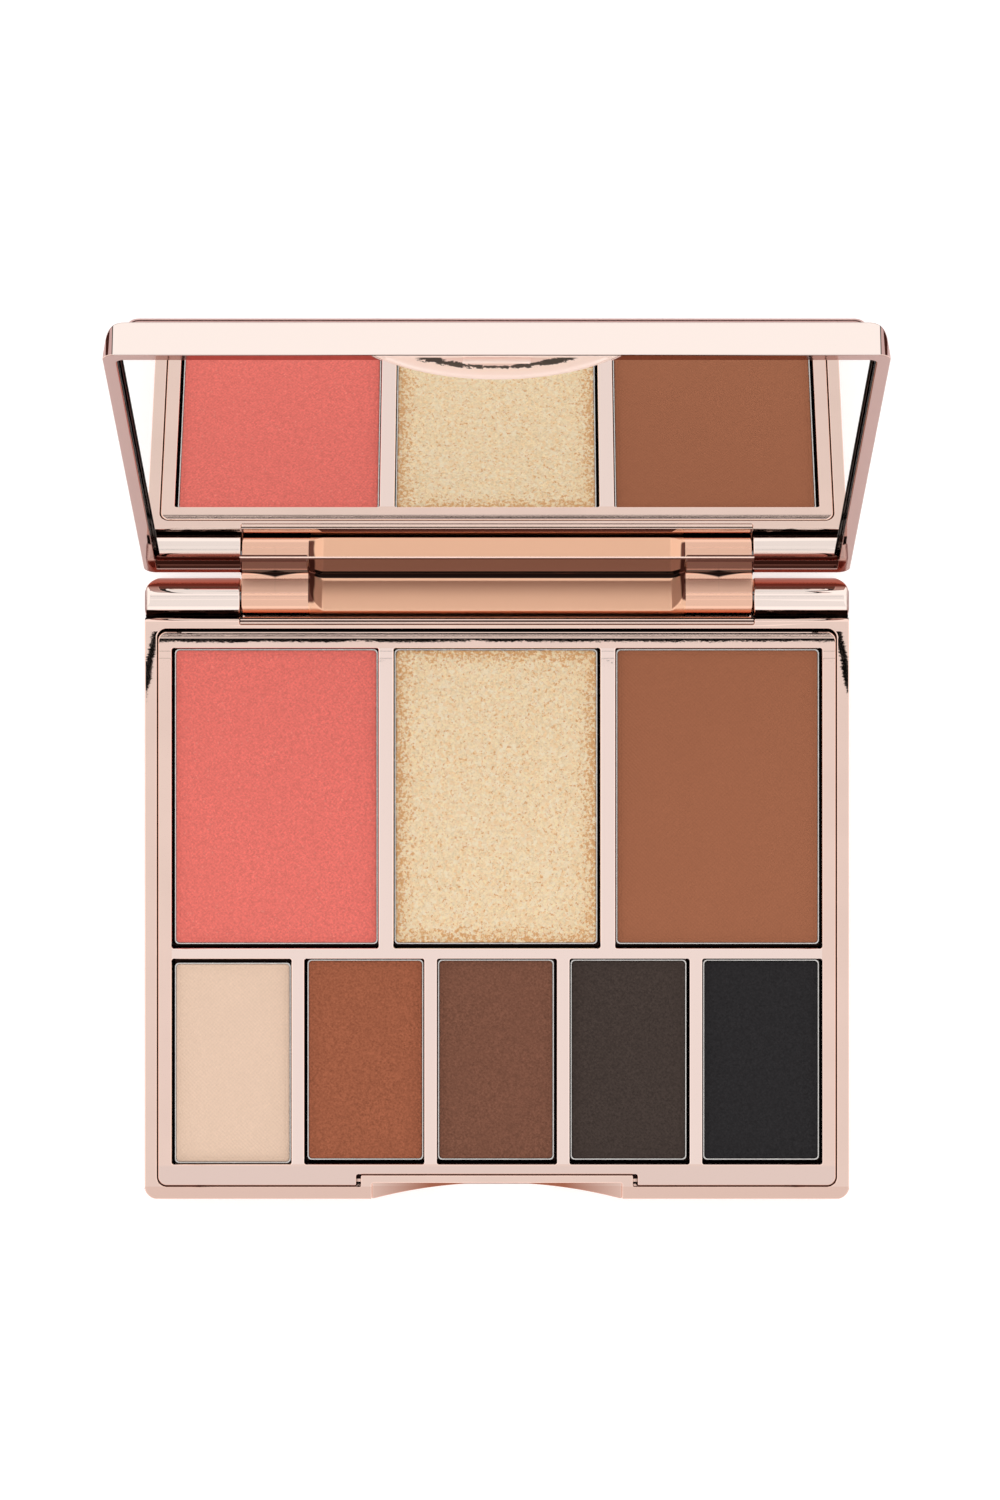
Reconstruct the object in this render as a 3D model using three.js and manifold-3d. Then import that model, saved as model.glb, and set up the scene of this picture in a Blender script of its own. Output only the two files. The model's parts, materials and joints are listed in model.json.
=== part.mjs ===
// Makeup palette: a flat hinged compact with eight pressed-powder pans and a mirror in the lid.
// Units are millimetres. +Z is up, +Y points to the hinge, and the origin is the centre of the underside.
// The lid is laid out closed, then turned open about the hinge axis to its rest position.
import * as THREE from "three";
import { mergeVertices, toCreasedNormals } from "three/addons/utils/BufferGeometryUtils.js";
import Module from "manifold-3d";

const wasm = await Module();
wasm.setup();

// Whole palette
const HALF_WIDTH = 57.5;
const HALF_DEPTH = 50.75;
const FRONT_CORNER_R = 2.1;
const REAR_CORNER_R = 3;
// The long left and right edges, underneath the base and on top of the lid
const SIDE_ROUND = { r: 2.9, draft: 0.4 };
const REST_OPEN_DEG = 107.5;

// Base shell
const RIM_Z = 9.5;
const RIM_WIDTH = 2.04;
const FLOOR_Z = 2;
const WELL_REAR_Y = 42.3;
const LEDGE_REAR_Y = 44.2;
const LEDGE_STEP = { y: 43.4, z: 9.05 };
const CHANNEL = { halfWidth: 41.95, floorZ: 3 };
const CATCH_BLOCK = { halfWidth: 22.2, frontY: -48.1, rearY: -46.86 };
const NOTCH = { halfWidth: 20.4, shelfZ: 8.2, scoopHalfWidth: 20, scoopRearY: -48.2 };

// Hinge
const HINGE = { y: 47.5, z: 6.7 };
const SHOULDER_R = 3.2;
const SHOULDER_VALLEY_Z = 8.5;
const BARREL = { halfWidth: 41.7, r: 3 };
const PIN = { r: 0.9, boreR: 1, innerX: 35, outerX: 57, boreInnerX: 34.6 };

// Tray and its pockets
const TRAY = { halfWidth: 55.35, frontY: -48.6, rearY: 42.15, bottomZ: 2.9, topZ: 9.1, cornerR: 1.5 };
const TRAY_SLOT = 0.4;
const POCKET_FLOOR_Z = 3.7;
const POCKET_CORNER_R = 0.3;
const GRID_HALF_WIDTH = 53.05;
const LARGE_ROW = { count: 3, frontY: -9.83, rearY: 39.1, divider: 2.5 };
const SMALL_ROW = { count: 5, frontY: -45.07, rearY: -11.6, divider: 2.15 };

// Pans, powders and glue pads
const PAN = { wall: 0.4, bottomZ: 3.95, topZ: 8.2, cornerR: 1.2 };
const PAN_GAP = { side: 0.42, front: 0.62, rest: 0.08 };
const POWDER = { gap: 0.04, belowRim: 0.12 };
const GLUE = { inset: 4, bottomZ: 3.73, topZ: 3.92 };
const WEIGHT = { halfWidth: 50, frontY: -43, rearY: 38, bottomZ: 2.05, topZ: 2.8 };

// Lid, laid out closed
const LID = { frontY: -50.8, rearY: 44, bottomZ: 9.7, topZ: 14.9, rim: 2.1, hingeRim: 1.8 };
const MIRROR = { rearY: 38.2, faceZ: 10.3, backZ: 11.5, cornerR: 1 };
const MIRROR_TAPE = { inset: 6, bottomZ: 11.55, topZ: 11.8 };
const MIRROR_GAP = { side: 0.5, end: 0.3 };
const MIRROR_WELL_Z = 11.85;
const STRIP_Z = 10.5;
const LUG_INNER_X = 30.7;
const LID_POCKET = { floorHalfWidth: 28.5, floorY: 46.2, slopeStartY: 44.5, topZ: 10 };
const TOP_PLATE = { halfWidth: 54.3, frontY: -48.4, rearY: 41, cornerR: 2 };
const TOP_PLATE_EDGE = { bottomZ: 14.15, topZ: 16.8, round: 1.1 };
const TOP_WELL = { gap: 0.3, floorZ: 13.85 };
const PLATE_TAPE = { inset: 5, bottomZ: 13.9, topZ: 14.1 };

// Half-moon catch plate on the lid's free end
const MOON = { r: 21.6, apexY: -41, chordY: -50.5, faceZ: 9.7, backZ: 10.25, rootY: -48.8, rootZ: 10.55 };
const MOON_DISH = { inset: 0.9, bevel: 0.25, depth: 0.3 };
const MOON_GAP = 0.3;
const NIB = { halfWidth: 5, frontY: -49.6, rearY: -48.8, tipZ: 9 };

const CURVE_SEGMENTS = 5;
const ROUND_SEGMENTS = 32;
const SCOOP_SEGMENTS = 180;
const CREASE = THREE.MathUtils.degToRad(32);
const REACH = 20; // how far a cutting solid runs past the piece it cuts

const FINISH = {
  roseGold: { color: 0xe3b5a4, roughness: 0.22, metalness: 0.9 },
  silver: { color: 0xc9c9c9, roughness: 0.3, metalness: 1 },
  steel: { color: 0x9a9ca0, roughness: 0.4, metalness: 1 },
  glass: { color: 0xe9eef0, roughness: 0.04, metalness: 1 },
  foam: { color: 0x3b3b3d, roughness: 0.9, metalness: 0 },
  glue: { color: 0xd8d2bb, roughness: 0.6, metalness: 0 },
};
const LARGE_SHADES = [
  { name: "coral", color: 0xe8776b },
  { name: "champagne", color: 0xf0d29e },
  { name: "bronze", color: 0xa2664b },
];
const SMALL_SHADES = [
  { name: "cream", color: 0xe9ceb4, atFront: true },
  { name: "terracotta", color: 0xa25c44 },
  { name: "chestnut", color: 0x805444 },
  { name: "umber", color: 0x463a35 },
  { name: "black", color: 0x2c2c2d },
];

// A rectangle in plan with rounded corners.
function roundedRect(x0, x1, y0, y1, r, rearR = r) {
  const shape = new THREE.Shape();
  shape.moveTo(x0 + r, y0);
  shape.lineTo(x1 - r, y0);
  shape.absarc(x1 - r, y0 + r, r, -Math.PI / 2, 0, false);
  shape.lineTo(x1, y1 - rearR);
  shape.absarc(x1 - rearR, y1 - rearR, rearR, 0, Math.PI / 2, false);
  shape.lineTo(x0 + rearR, y1);
  shape.absarc(x0 + rearR, y1 - rearR, rearR, Math.PI / 2, Math.PI, false);
  shape.lineTo(x0, y0 + r);
  shape.absarc(x0 + r, y0 + r, r, Math.PI, Math.PI * 1.5, false);
  return shape;
}

function polygon(points) {
  return new THREE.Shape(points.map(([x, y]) => new THREE.Vector2(x, y)));
}

// A plan shape raised from z0 to z1.
function raise(shape, z0, z1) {
  const options = { depth: z1 - z0, bevelEnabled: false, curveSegments: CURVE_SEGMENTS };
  return solid(new THREE.ExtrudeGeometry(shape, options).translate(0, 0, z0));
}

// The palette's cross-section in (x, z) from z0 to z1, drawn out from y0 to y1: upright sides that lean in
// slightly and then round over towards z1. With z1 below z0 the rounded edges are underneath.
function roundedSides(z0, z1, y0, y1) {
  const { r, draft } = SIDE_ROUND;
  const up = Math.sign(z1 - z0);
  const shape = new THREE.Shape();
  shape.moveTo(-HALF_WIDTH, z0);
  shape.lineTo(HALF_WIDTH, z0);
  shape.lineTo(HALF_WIDTH - draft, z1 - up * r);
  shape.quadraticCurveTo(HALF_WIDTH - draft - 0.1 * r, z1, HALF_WIDTH - draft - r, z1);
  shape.lineTo(-HALF_WIDTH + draft + r, z1);
  shape.quadraticCurveTo(-HALF_WIDTH + draft + 0.1 * r, z1, -HALF_WIDTH + draft, z1 - up * r);
  shape.closePath();
  const options = { depth: y1 - y0, bevelEnabled: false, curveSegments: CURVE_SEGMENTS };
  const geometry = new THREE.ExtrudeGeometry(shape, options);
  geometry.rotateX(Math.PI / 2);
  return solid(geometry.translate(0, y1, 0));
}

function block(x0, x1, y0, y1, z0, z1) {
  const geometry = new THREE.BoxGeometry(x1 - x0, y1 - y0, z1 - z0);
  return solid(geometry.translate((x0 + x1) / 2, (y0 + y1) / 2, (z0 + z1) / 2));
}

// A round bar on the hinge axis.
function hingeBar(x0, x1, r) {
  const geometry = new THREE.CylinderGeometry(r, r, x1 - x0, ROUND_SEGMENTS);
  geometry.rotateZ(Math.PI / 2);
  return solid(geometry.translate((x0 + x1) / 2, HINGE.y, HINGE.z));
}

// A side profile in (y, z) drawn out along x.
function drawOut(points, x0, x1) {
  const options = { depth: x1 - x0, bevelEnabled: false };
  const geometry = new THREE.ExtrudeGeometry(polygon(points), options);
  geometry.rotateX(Math.PI / 2);
  geometry.rotateZ(Math.PI / 2);
  return solid(geometry.translate(x0, 0, 0));
}

function solid(geometry) {
  const bare = geometry.clone();
  bare.deleteAttribute("normal");
  bare.deleteAttribute("uv");
  const welded = mergeVertices(bare, 1e-4);
  const mesh = new wasm.Mesh({
    numProp: 3,
    vertProperties: new Float32Array(welded.attributes.position.array),
    triVerts: new Uint32Array(welded.index.array),
  });
  return new wasm.Manifold(mesh);
}

function toGeometry(manifold) {
  const { vertProperties, triVerts } = manifold.getMesh();
  const geometry = new THREE.BufferGeometry();
  geometry.setAttribute("position", new THREE.BufferAttribute(new Float32Array(vertProperties), 3));
  geometry.setIndex(new THREE.BufferAttribute(new Uint32Array(triVerts), 1));
  return geometry;
}

const palette = new THREE.Group();
palette.name = "makeup_palette";

// The lid's own group turns about the hinge axis.
const lid = new THREE.Group();
lid.name = "lid";
lid.position.set(0, HINGE.y, HINGE.z);
lid.rotation.x = -THREE.MathUtils.degToRad(REST_OPEN_DEG);
palette.add(lid);

function addPiece(name, manifold, finish) {
  addMesh(palette, name, toGeometry(manifold), finish);
}

function addLidPiece(name, manifold, finish) {
  addMesh(lid, name, toGeometry(manifold).translate(0, -HINGE.y, -HINGE.z), finish);
}

function addMesh(parent, name, geometry, finish) {
  const material = new THREE.MeshStandardMaterial(finish);
  const mesh = new THREE.Mesh(toCreasedNormals(geometry, CREASE), material);
  mesh.name = name;
  parent.add(mesh);
}

// Base shell: a shallow rounded box with a well for the tray, a rounded shoulder at each rear corner and an
// open channel for the barrel between them.
function baseShell() {
  const corners = [FRONT_CORNER_R, REAR_CORNER_R];
  const outline = roundedRect(-HALF_WIDTH, HALF_WIDTH, -HALF_DEPTH, HALF_DEPTH, ...corners);
  const pastSide = HALF_WIDTH + 1;
  const topZ = HINGE.z + SHOULDER_R;
  const pastTop = topZ + 1;
  let shell = raise(outline, 0, topZ);
  shell = shell.intersect(roundedSides(topZ, 0, -HALF_DEPTH - 1, HALF_DEPTH + 1));
  const shoulderFrontY = HINGE.y - SHOULDER_R;
  shell = shell.subtract(block(-pastSide, pastSide, -HALF_DEPTH - 1, shoulderFrontY, RIM_Z, pastTop));

  let aboveShoulder = block(-pastSide, pastSide, LEDGE_REAR_Y, HALF_DEPTH + 1, HINGE.z, pastTop);
  aboveShoulder = aboveShoulder.subtract(hingeBar(-pastSide - 1, pastSide + 1, SHOULDER_R));
  const valleyFrontY = LEDGE_REAR_Y - 1;
  const valley = block(-pastSide - 1, pastSide + 1, valleyFrontY, HINGE.y, HINGE.z - 1, SHOULDER_VALLEY_Z);
  shell = shell.subtract(aboveShoulder.subtract(valley));

  const { halfWidth, floorZ } = CHANNEL;
  shell = shell.subtract(block(-halfWidth, halfWidth, LEDGE_REAR_Y, HALF_DEPTH + 1, floorZ, RIM_Z + 1));
  const step = block(-halfWidth, halfWidth, LEDGE_STEP.y, HALF_DEPTH + 1, LEDGE_STEP.z, RIM_Z + 1);
  shell = shell.subtract(step);

  const wellHalf = HALF_WIDTH - RIM_WIDTH;
  const wellFrontY = -HALF_DEPTH + RIM_WIDTH;
  const wellOutline = roundedRect(-wellHalf, wellHalf, wellFrontY, WELL_REAR_Y, TRAY.cornerR + 0.1);
  let well = raise(wellOutline, FLOOR_Z, RIM_Z + 1);
  const catchHalf = CATCH_BLOCK.halfWidth;
  well = well.subtract(block(-catchHalf, catchHalf, -HALF_DEPTH, CATCH_BLOCK.rearY, 0, RIM_Z + 2));
  shell = shell.subtract(well);

  // The thumb notch: an arc scooped through the front wall, and a straight shelf cut above it.
  const { halfWidth: notchHalf, shelfZ, scoopHalfWidth, scoopRearY } = NOTCH;
  const depth = scoopRearY + HALF_DEPTH;
  const scoopR = (scoopHalfWidth ** 2 + depth ** 2) / (2 * depth);
  const scoop = new THREE.CylinderGeometry(scoopR, scoopR, 2 * REACH, SCOOP_SEGMENTS);
  scoop.rotateX(Math.PI / 2);
  scoop.translate(0, scoopRearY - scoopR, 0);
  shell = shell.subtract(solid(scoop));
  const shelf = block(-notchHalf, notchHalf, -HALF_DEPTH - 1, CATCH_BLOCK.frontY, shelfZ, RIM_Z + 1);
  shell = shell.subtract(shelf);

  for (const side of [-1, 1]) {
    const ends = [side * BARREL.halfWidth, side * (HALF_WIDTH + 1)].sort((a, b) => a - b);
    shell = shell.subtract(hingeBar(ends[0], ends[1], PIN.boreR));
  }
  return shell;
}

// The plan rectangles of one row of pockets, from left to right.
function pocketRow({ count, frontY, rearY, divider }) {
  const width = (2 * GRID_HALF_WIDTH - (count - 1) * divider) / count;
  return Array.from({ length: count }, (_, i) => {
    const x0 = -GRID_HALF_WIDTH + i * (width + divider);
    return { x0, x1: x0 + width, y0: frontY, y1: rearY };
  });
}

function panTray(pockets) {
  const outline = roundedRect(-TRAY.halfWidth, TRAY.halfWidth, TRAY.frontY, TRAY.rearY, TRAY.cornerR);
  let tray = raise(outline, TRAY.bottomZ, TRAY.topZ);
  const slotHalf = CATCH_BLOCK.halfWidth + TRAY_SLOT;
  const slotRear = CATCH_BLOCK.rearY + TRAY_SLOT / 2;
  tray = tray.subtract(block(-slotHalf, slotHalf, TRAY.frontY - 1, slotRear, 0, TRAY.topZ + 1));
  for (const { x0, x1, y0, y1 } of pockets) {
    const pocket = roundedRect(x0, x1, y0, y1, POCKET_CORNER_R);
    tray = tray.subtract(raise(pocket, POCKET_FLOOR_Z, TRAY.topZ + 1));
  }
  return tray;
}

// Each pan has slid to the rear of its pocket, or to the front. Pans left of the middle leave their gap on
// the left, the rest on the right.
function panOutline({ x0, x1, y0, y1 }, atFront = false) {
  const gapOnLeft = x0 + x1 < -1;
  const { side, front, rest } = PAN_GAP;
  return {
    x0: x0 + (gapOnLeft ? side : rest),
    x1: x1 - (gapOnLeft ? rest : side),
    y0: y0 + (atFront ? rest : front),
    y1: y1 - (atFront ? front : rest),
  };
}

function rectInset({ x0, x1, y0, y1 }, inset, r) {
  return roundedRect(x0 + inset, x1 - inset, y0 + inset, y1 - inset, r);
}

function addPan(number, shade, pocket) {
  const outline = panOutline(pocket, shade.atFront);
  const innerR = PAN.cornerR - PAN.wall / 2;
  const cup = raise(rectInset(outline, 0, PAN.cornerR), PAN.bottomZ, PAN.topZ);
  const hollow = raise(rectInset(outline, PAN.wall, innerR), PAN.bottomZ + PAN.wall, PAN.topZ + 1);
  addPiece(`pan_${number}_${shade.name}`, cup.subtract(hollow), FINISH.silver);

  const powderInset = PAN.wall + POWDER.gap;
  const powderBottom = PAN.bottomZ + PAN.wall + POWDER.gap;
  const powder = raise(rectInset(outline, powderInset, innerR), powderBottom, PAN.topZ - POWDER.belowRim);
  addPiece(`powder_${number}_${shade.name}`, powder, { color: shade.color, roughness: 0.9, metalness: 0 });

  const pad = raise(rectInset(outline, GLUE.inset, PAN.cornerR), GLUE.bottomZ, GLUE.topZ);
  addPiece(`pan_glue_${number}`, pad, FINISH.glue);
}

// Lid shell: a shallow rounded cover whose rear edge carries the barrel. The barrel is full height at the
// two lugs and hollowed between them.
function lidShell() {
  const outline = roundedRect(-HALF_WIDTH, HALF_WIDTH, LID.frontY, LID.rearY, FRONT_CORNER_R);
  let shell = raise(outline, LID.bottomZ, LID.topZ);
  shell = shell.intersect(roundedSides(LID.bottomZ, LID.topZ, LID.frontY - 1, LID.rearY + 1));

  shell = shell.add(hingeBar(-BARREL.halfWidth, BARREL.halfWidth, BARREL.r));
  const web = [
    [LID.rearY - 2, LID.bottomZ],
    [HINGE.y - BARREL.r, LID.bottomZ],
    [HINGE.y - BARREL.r, HINGE.z],
    [HINGE.y + 0.4, HINGE.z],
    [HINGE.y + 0.4, HINGE.z + 2.6],
    [HINGE.y + 0.1, HINGE.z + 3.7],
    [HINGE.y - 0.8, HINGE.z + 5.3],
    [HINGE.y - 2.2, HINGE.z + 6.8],
    [LID.rearY - 0.4, HINGE.z + 7.6],
    [LID.rearY - 2, HINGE.z + 7.6],
  ];
  shell = shell.add(drawOut(web, -BARREL.halfWidth, BARREL.halfWidth));

  const wellHalf = HALF_WIDTH - LID.rim;
  const wellFront = LID.frontY + LID.rim;
  const wellRear = MIRROR.rearY + MIRROR_GAP.end;
  const mirrorWell = roundedRect(-wellHalf, wellHalf, wellFront, wellRear, MIRROR.cornerR);
  shell = shell.subtract(raise(mirrorWell, 0, MIRROR_WELL_Z));

  // Shallow strips between the mirror and the hinge edge, one outside each lug.
  const stripRear = LID.rearY - LID.hingeRim;
  const strip = [MIRROR.rearY, stripRear, LID.bottomZ - 1, STRIP_Z];
  shell = shell.subtract(block(-wellHalf, -BARREL.halfWidth, ...strip));
  shell = shell.subtract(block(BARREL.halfWidth, wellHalf, ...strip));

  const { floorHalfWidth, floorY, slopeStartY, topZ } = LID_POCKET;
  const pocket = polygon([
    [-LUG_INNER_X, MIRROR.rearY],
    [LUG_INNER_X, MIRROR.rearY],
    [LUG_INNER_X, slopeStartY],
    [floorHalfWidth, floorY],
    [-floorHalfWidth, floorY],
    [-LUG_INNER_X, slopeStartY],
  ]);
  shell = shell.subtract(raise(pocket, 0, topZ));

  const plateWell = roundedRect(
    -TOP_PLATE.halfWidth - TOP_WELL.gap,
    TOP_PLATE.halfWidth + TOP_WELL.gap,
    TOP_PLATE.frontY - TOP_WELL.gap,
    TOP_PLATE.rearY + TOP_WELL.gap,
    TOP_PLATE.cornerR,
  );
  shell = shell.subtract(raise(plateWell, TOP_WELL.floorZ, LID.topZ + 1));

  const moonSeat = moonChordHalf() + MOON_GAP;
  shell = shell.subtract(block(-moonSeat, moonSeat, MOON.chordY - 0.1, wellFront + 1, 0, MOON.rootZ + 0.1));

  for (const side of [-1, 1]) {
    const ends = [side * PIN.boreInnerX, side * (BARREL.halfWidth + 1)].sort((a, b) => a - b);
    shell = shell.subtract(hingeBar(ends[0], ends[1], PIN.boreR));
  }
  return shell;
}

function moonChordHalf() {
  const rise = MOON.apexY - MOON.chordY;
  return Math.sqrt(MOON.r ** 2 - (MOON.r - rise) ** 2);
}

// The half-moon between the chord and an arc through the apex, pulled in by inset on every side.
function moonOutline(inset) {
  const r = MOON.r - inset;
  const chordY = MOON.chordY + inset;
  const centreY = MOON.apexY - MOON.r;
  const end = Math.acos((chordY - centreY) / r);
  const shape = new THREE.Shape();
  shape.absarc(0, centreY, r, Math.PI / 2 - end, Math.PI / 2 + end, false);
  shape.closePath();
  return shape;
}

function catchPlate() {
  const moon = new THREE.ExtrudeGeometry(moonOutline(0), {
    depth: MOON.backZ - MOON.faceZ,
    bevelEnabled: false,
    curveSegments: 24,
  });
  let plate = solid(moon.translate(0, 0, MOON.faceZ));
  const half = moonChordHalf();
  const root = block(-half, half, MOON.chordY, MOON.rootY, MOON.faceZ, MOON.rootZ);
  plate = plate.add(root);
  const dish = new THREE.ExtrudeGeometry(moonOutline(MOON_DISH.inset), {
    depth: REACH,
    bevelSize: MOON_DISH.bevel,
    bevelThickness: MOON_DISH.bevel,
    bevelOffset: -MOON_DISH.bevel,
    bevelSegments: 2,
    curveSegments: 24,
  });
  const dishZ = MOON.faceZ + MOON_DISH.depth - MOON_DISH.bevel - REACH;
  plate = plate.subtract(solid(dish.translate(0, 0, dishZ)));
  return plate.add(block(-NIB.halfWidth, NIB.halfWidth, NIB.frontY, NIB.rearY, NIB.tipZ, MOON.rootZ - 0.1));
}

// The raised cover plate. Its bottom edge is square and its top edge is rounded.
function topPlate(cover) {
  const { bottomZ, topZ, round } = TOP_PLATE_EDGE;
  const options = {
    depth: topZ - bottomZ,
    bevelSize: round,
    bevelThickness: round,
    bevelOffset: -round,
    bevelSegments: 4,
    curveSegments: CURVE_SEGMENTS,
  };
  const slab = new THREE.ExtrudeGeometry(rectInset(cover, 0, TOP_PLATE.cornerR), options);
  const plate = solid(slab.translate(0, 0, bottomZ - round));
  return plate.intersect(block(-HALF_WIDTH, HALF_WIDTH, -HALF_DEPTH, HALF_DEPTH, bottomZ, topZ + 1));
}

function addLid() {
  const mirrorHalf = HALF_WIDTH - LID.rim - MIRROR_GAP.side;
  const mirrorFront = LID.frontY + LID.rim + MIRROR_GAP.end;
  const glass = { x0: -mirrorHalf, x1: mirrorHalf, y0: mirrorFront, y1: MIRROR.rearY };
  const { halfWidth, frontY, rearY } = TOP_PLATE;
  const cover = { x0: -halfWidth, x1: halfWidth, y0: frontY, y1: rearY };
  const mirror = raise(rectInset(glass, 0, MIRROR.cornerR), MIRROR.faceZ, MIRROR.backZ);
  const mirrorTape = raise(rectInset(glass, MIRROR_TAPE.inset, 1), MIRROR_TAPE.bottomZ, MIRROR_TAPE.topZ);
  const plateTape = raise(rectInset(cover, PLATE_TAPE.inset, 1), PLATE_TAPE.bottomZ, PLATE_TAPE.topZ);
  addLidPiece("lid_shell", lidShell(), FINISH.roseGold);
  addLidPiece("mirror", mirror, FINISH.glass);
  addLidPiece("mirror_tape", mirrorTape, FINISH.foam);
  addLidPiece("catch_plate", catchPlate(), FINISH.roseGold);
  addLidPiece("top_plate", topPlate(cover), FINISH.roseGold);
  addLidPiece("plate_tape", plateTape, FINISH.foam);
}

const largePockets = pocketRow(LARGE_ROW);
const smallPockets = pocketRow(SMALL_ROW);
const shades = [...LARGE_SHADES, ...SMALL_SHADES];

addPiece("base_shell", baseShell(), FINISH.roseGold);
addPiece("pan_tray", panTray([...largePockets, ...smallPockets]), FINISH.roseGold);
const weight = { x0: -WEIGHT.halfWidth, x1: WEIGHT.halfWidth, y0: WEIGHT.frontY, y1: WEIGHT.rearY };
addPiece("weight_plate", raise(rectInset(weight, 0, 3), WEIGHT.bottomZ, WEIGHT.topZ), FINISH.steel);
[...largePockets, ...smallPockets].forEach((pocket, i) => addPan(i + 1, shades[i], pocket));
addPiece("hinge_pin_left", hingeBar(-PIN.outerX, -PIN.innerX, PIN.r), FINISH.steel);
addPiece("hinge_pin_right", hingeBar(PIN.innerX, PIN.outerX, PIN.r), FINISH.steel);
addLid();

export default palette;
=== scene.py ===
"""Makeup palette: fine surfaces, materials, light and camera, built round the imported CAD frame.

Shapes are laid out in millimetres in the part's own frame, with the lid closed. The lid's pieces are then
turned about the hinge to the open rest position, and every piece is scaled to metres.
"""

import json
import math

import bmesh
import bpy
from mathutils import Matrix, Vector, noise

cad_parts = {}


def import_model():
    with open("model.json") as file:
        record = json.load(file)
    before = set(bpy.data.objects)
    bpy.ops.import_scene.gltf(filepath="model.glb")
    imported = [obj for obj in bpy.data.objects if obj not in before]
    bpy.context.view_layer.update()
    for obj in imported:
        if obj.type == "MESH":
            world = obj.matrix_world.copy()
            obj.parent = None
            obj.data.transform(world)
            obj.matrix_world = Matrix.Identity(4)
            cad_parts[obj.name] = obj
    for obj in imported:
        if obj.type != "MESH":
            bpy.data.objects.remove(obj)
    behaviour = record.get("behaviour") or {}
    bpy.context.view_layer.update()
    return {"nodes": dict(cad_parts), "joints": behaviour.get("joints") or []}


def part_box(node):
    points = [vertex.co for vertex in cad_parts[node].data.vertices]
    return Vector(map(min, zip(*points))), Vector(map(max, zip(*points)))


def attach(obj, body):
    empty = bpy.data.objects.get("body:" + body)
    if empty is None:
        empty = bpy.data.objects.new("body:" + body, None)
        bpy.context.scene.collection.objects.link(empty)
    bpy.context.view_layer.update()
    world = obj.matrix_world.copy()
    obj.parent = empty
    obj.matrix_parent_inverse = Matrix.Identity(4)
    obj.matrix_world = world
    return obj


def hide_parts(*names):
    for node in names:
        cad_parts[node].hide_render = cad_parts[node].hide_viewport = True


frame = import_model()

MM = 0.001
LID_JOINT = frame["joints"][0]
HINGE_Y = LID_JOINT["pos_m"][1] / MM
HINGE_Z = LID_JOINT["pos_m"][2] / MM
REST_OPEN_DEG = -LID_JOINT["range_deg"][0]

# Case outline, shared by the base and the lid
HALF_WIDTH = 57.5
FRONT_Y = -50.75
FRONT_CORNER_R = 2.1
REAR_CORNER_R = 3
SIDE_ROUND = 2.9
SIDE_DRAFT = 0.4

# Base
RIM_Z = 9.5
RIM_WIDTH = 2.04
FLOOR_Z = 2
WELL_REAR_Y = 42.3
WELL_CORNER_R = 1.6
LEDGE_FRONT_Y = 43
LEDGE_REAR_Y = 44.2
LEDGE_Z = 9.3
LEDGE_STEP = 0.5
LEDGE_DROP = 0.3
CHANNEL_HALF = 41.95
CHANNEL_FLOOR_Z = 3
SHOULDER_R = 3.2
SHOULDER_END_R = 1.4
SHOULDER_LOW_Z = 7.8
VALLEY_FRONT_Y = 44.05
VALLEY_REAR_Y = 44.75
CATCH_HALF = 22.2
CATCH_FRONT_Y = -48.1
CATCH_REAR_Y = -46.86
NOTCH_HALF = 20.4
SHELF_Z = 8.2
SCOOP_HALF = 20
SCOOP_REAR_Y = -48.2
PIN_BORE_R = 1
PIN_REACH_X = 34.6
BASE_EDGE_R = 0.22

# Tray and pans
TRAY_HALF = 55.35
TRAY_FRONT_Y = -48.6
TRAY_REAR_Y = 41.85
TRAY_BOTTOM_Z = 2.9
TRAY_TOP_Z = 9.1
TRAY_SLOT = 0.72
TRAY_SEAM = 0.07
TRAY_CORNER_R = 1.5
TRAY_EDGE_R = 0.26
POCKET_FLOOR_Z = 3.7
POCKET_CORNER_R = 0.3
GRID_HALF = 53.05
POCKET_ROWS_Y = (-45.07, 39.1)
PAN_TOP_Z = 8.2
PAN_WALL = 0.24
PAN_CORNER_R = 0.7
LARGE_DIVIDER = 2.5
SMALL_DIVIDER = 2.15
ROW_DIVIDER_Y = (-11.6, -9.83)

# Lid, laid out closed
LID_FRONT_Y = -50.8
LID_REAR_Y = 44
LID_BOTTOM_Z = 9.7
LID_TOP_Z = 14.9
LID_RIM = 2.1
LID_EDGE_R = 0.2
HINGE_RIM = 1.8
BARREL_HALF = 41.7
BARREL_R = 3
LUG_INNER_X = 30.7
HOLLOW_FLOOR_HALF = 28.5
HOLLOW_FLOOR_Y = 46.2
HOLLOW_FRONT_Y = 36
HOLLOW_STEP_Y = 44.35
HOLLOW_ROOF_Z = 10.1
HOLLOW_FILLET = 1.1
MIRROR_REAR_Y = 38.2
MIRROR_FACE_Z = 10.3
MIRROR_BACK_Z = 11.5
MIRROR_SEAT_Z = 11.85
MIRROR_SIDE_GAP = 0.5
MIRROR_END_GAP = 0.3
STRIP_Z = 10.5
PLATE_HALF = 54.3
PLATE_FRONT_Y = -48.4
PLATE_REAR_Y = 41
PLATE_BOTTOM_Z = 14.15
PLATE_TOP_Z = 16.8
PLATE_ROUND = 1.1
PLATE_CORNER_R = 2
PLATE_GAP = 0.3
PLATE_SEAT_Z = 13.85
MOON_R = 21.6
MOON_APEX_Y = -41
MOON_CHORD_Y = -50.5
MOON_FACE_Z = 9.7
MOON_BACK_Z = 10.25
MOON_SEAT_Z = 10.65
CREASE_R = 16.6
CREASE_CENTRE_Y = -62.2
CREASE_HALF = 11.5
NIB_HALF = 5
NIB_Y = (-49.6, -48.9)
NIB_Z = (9.05, 10)

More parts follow.
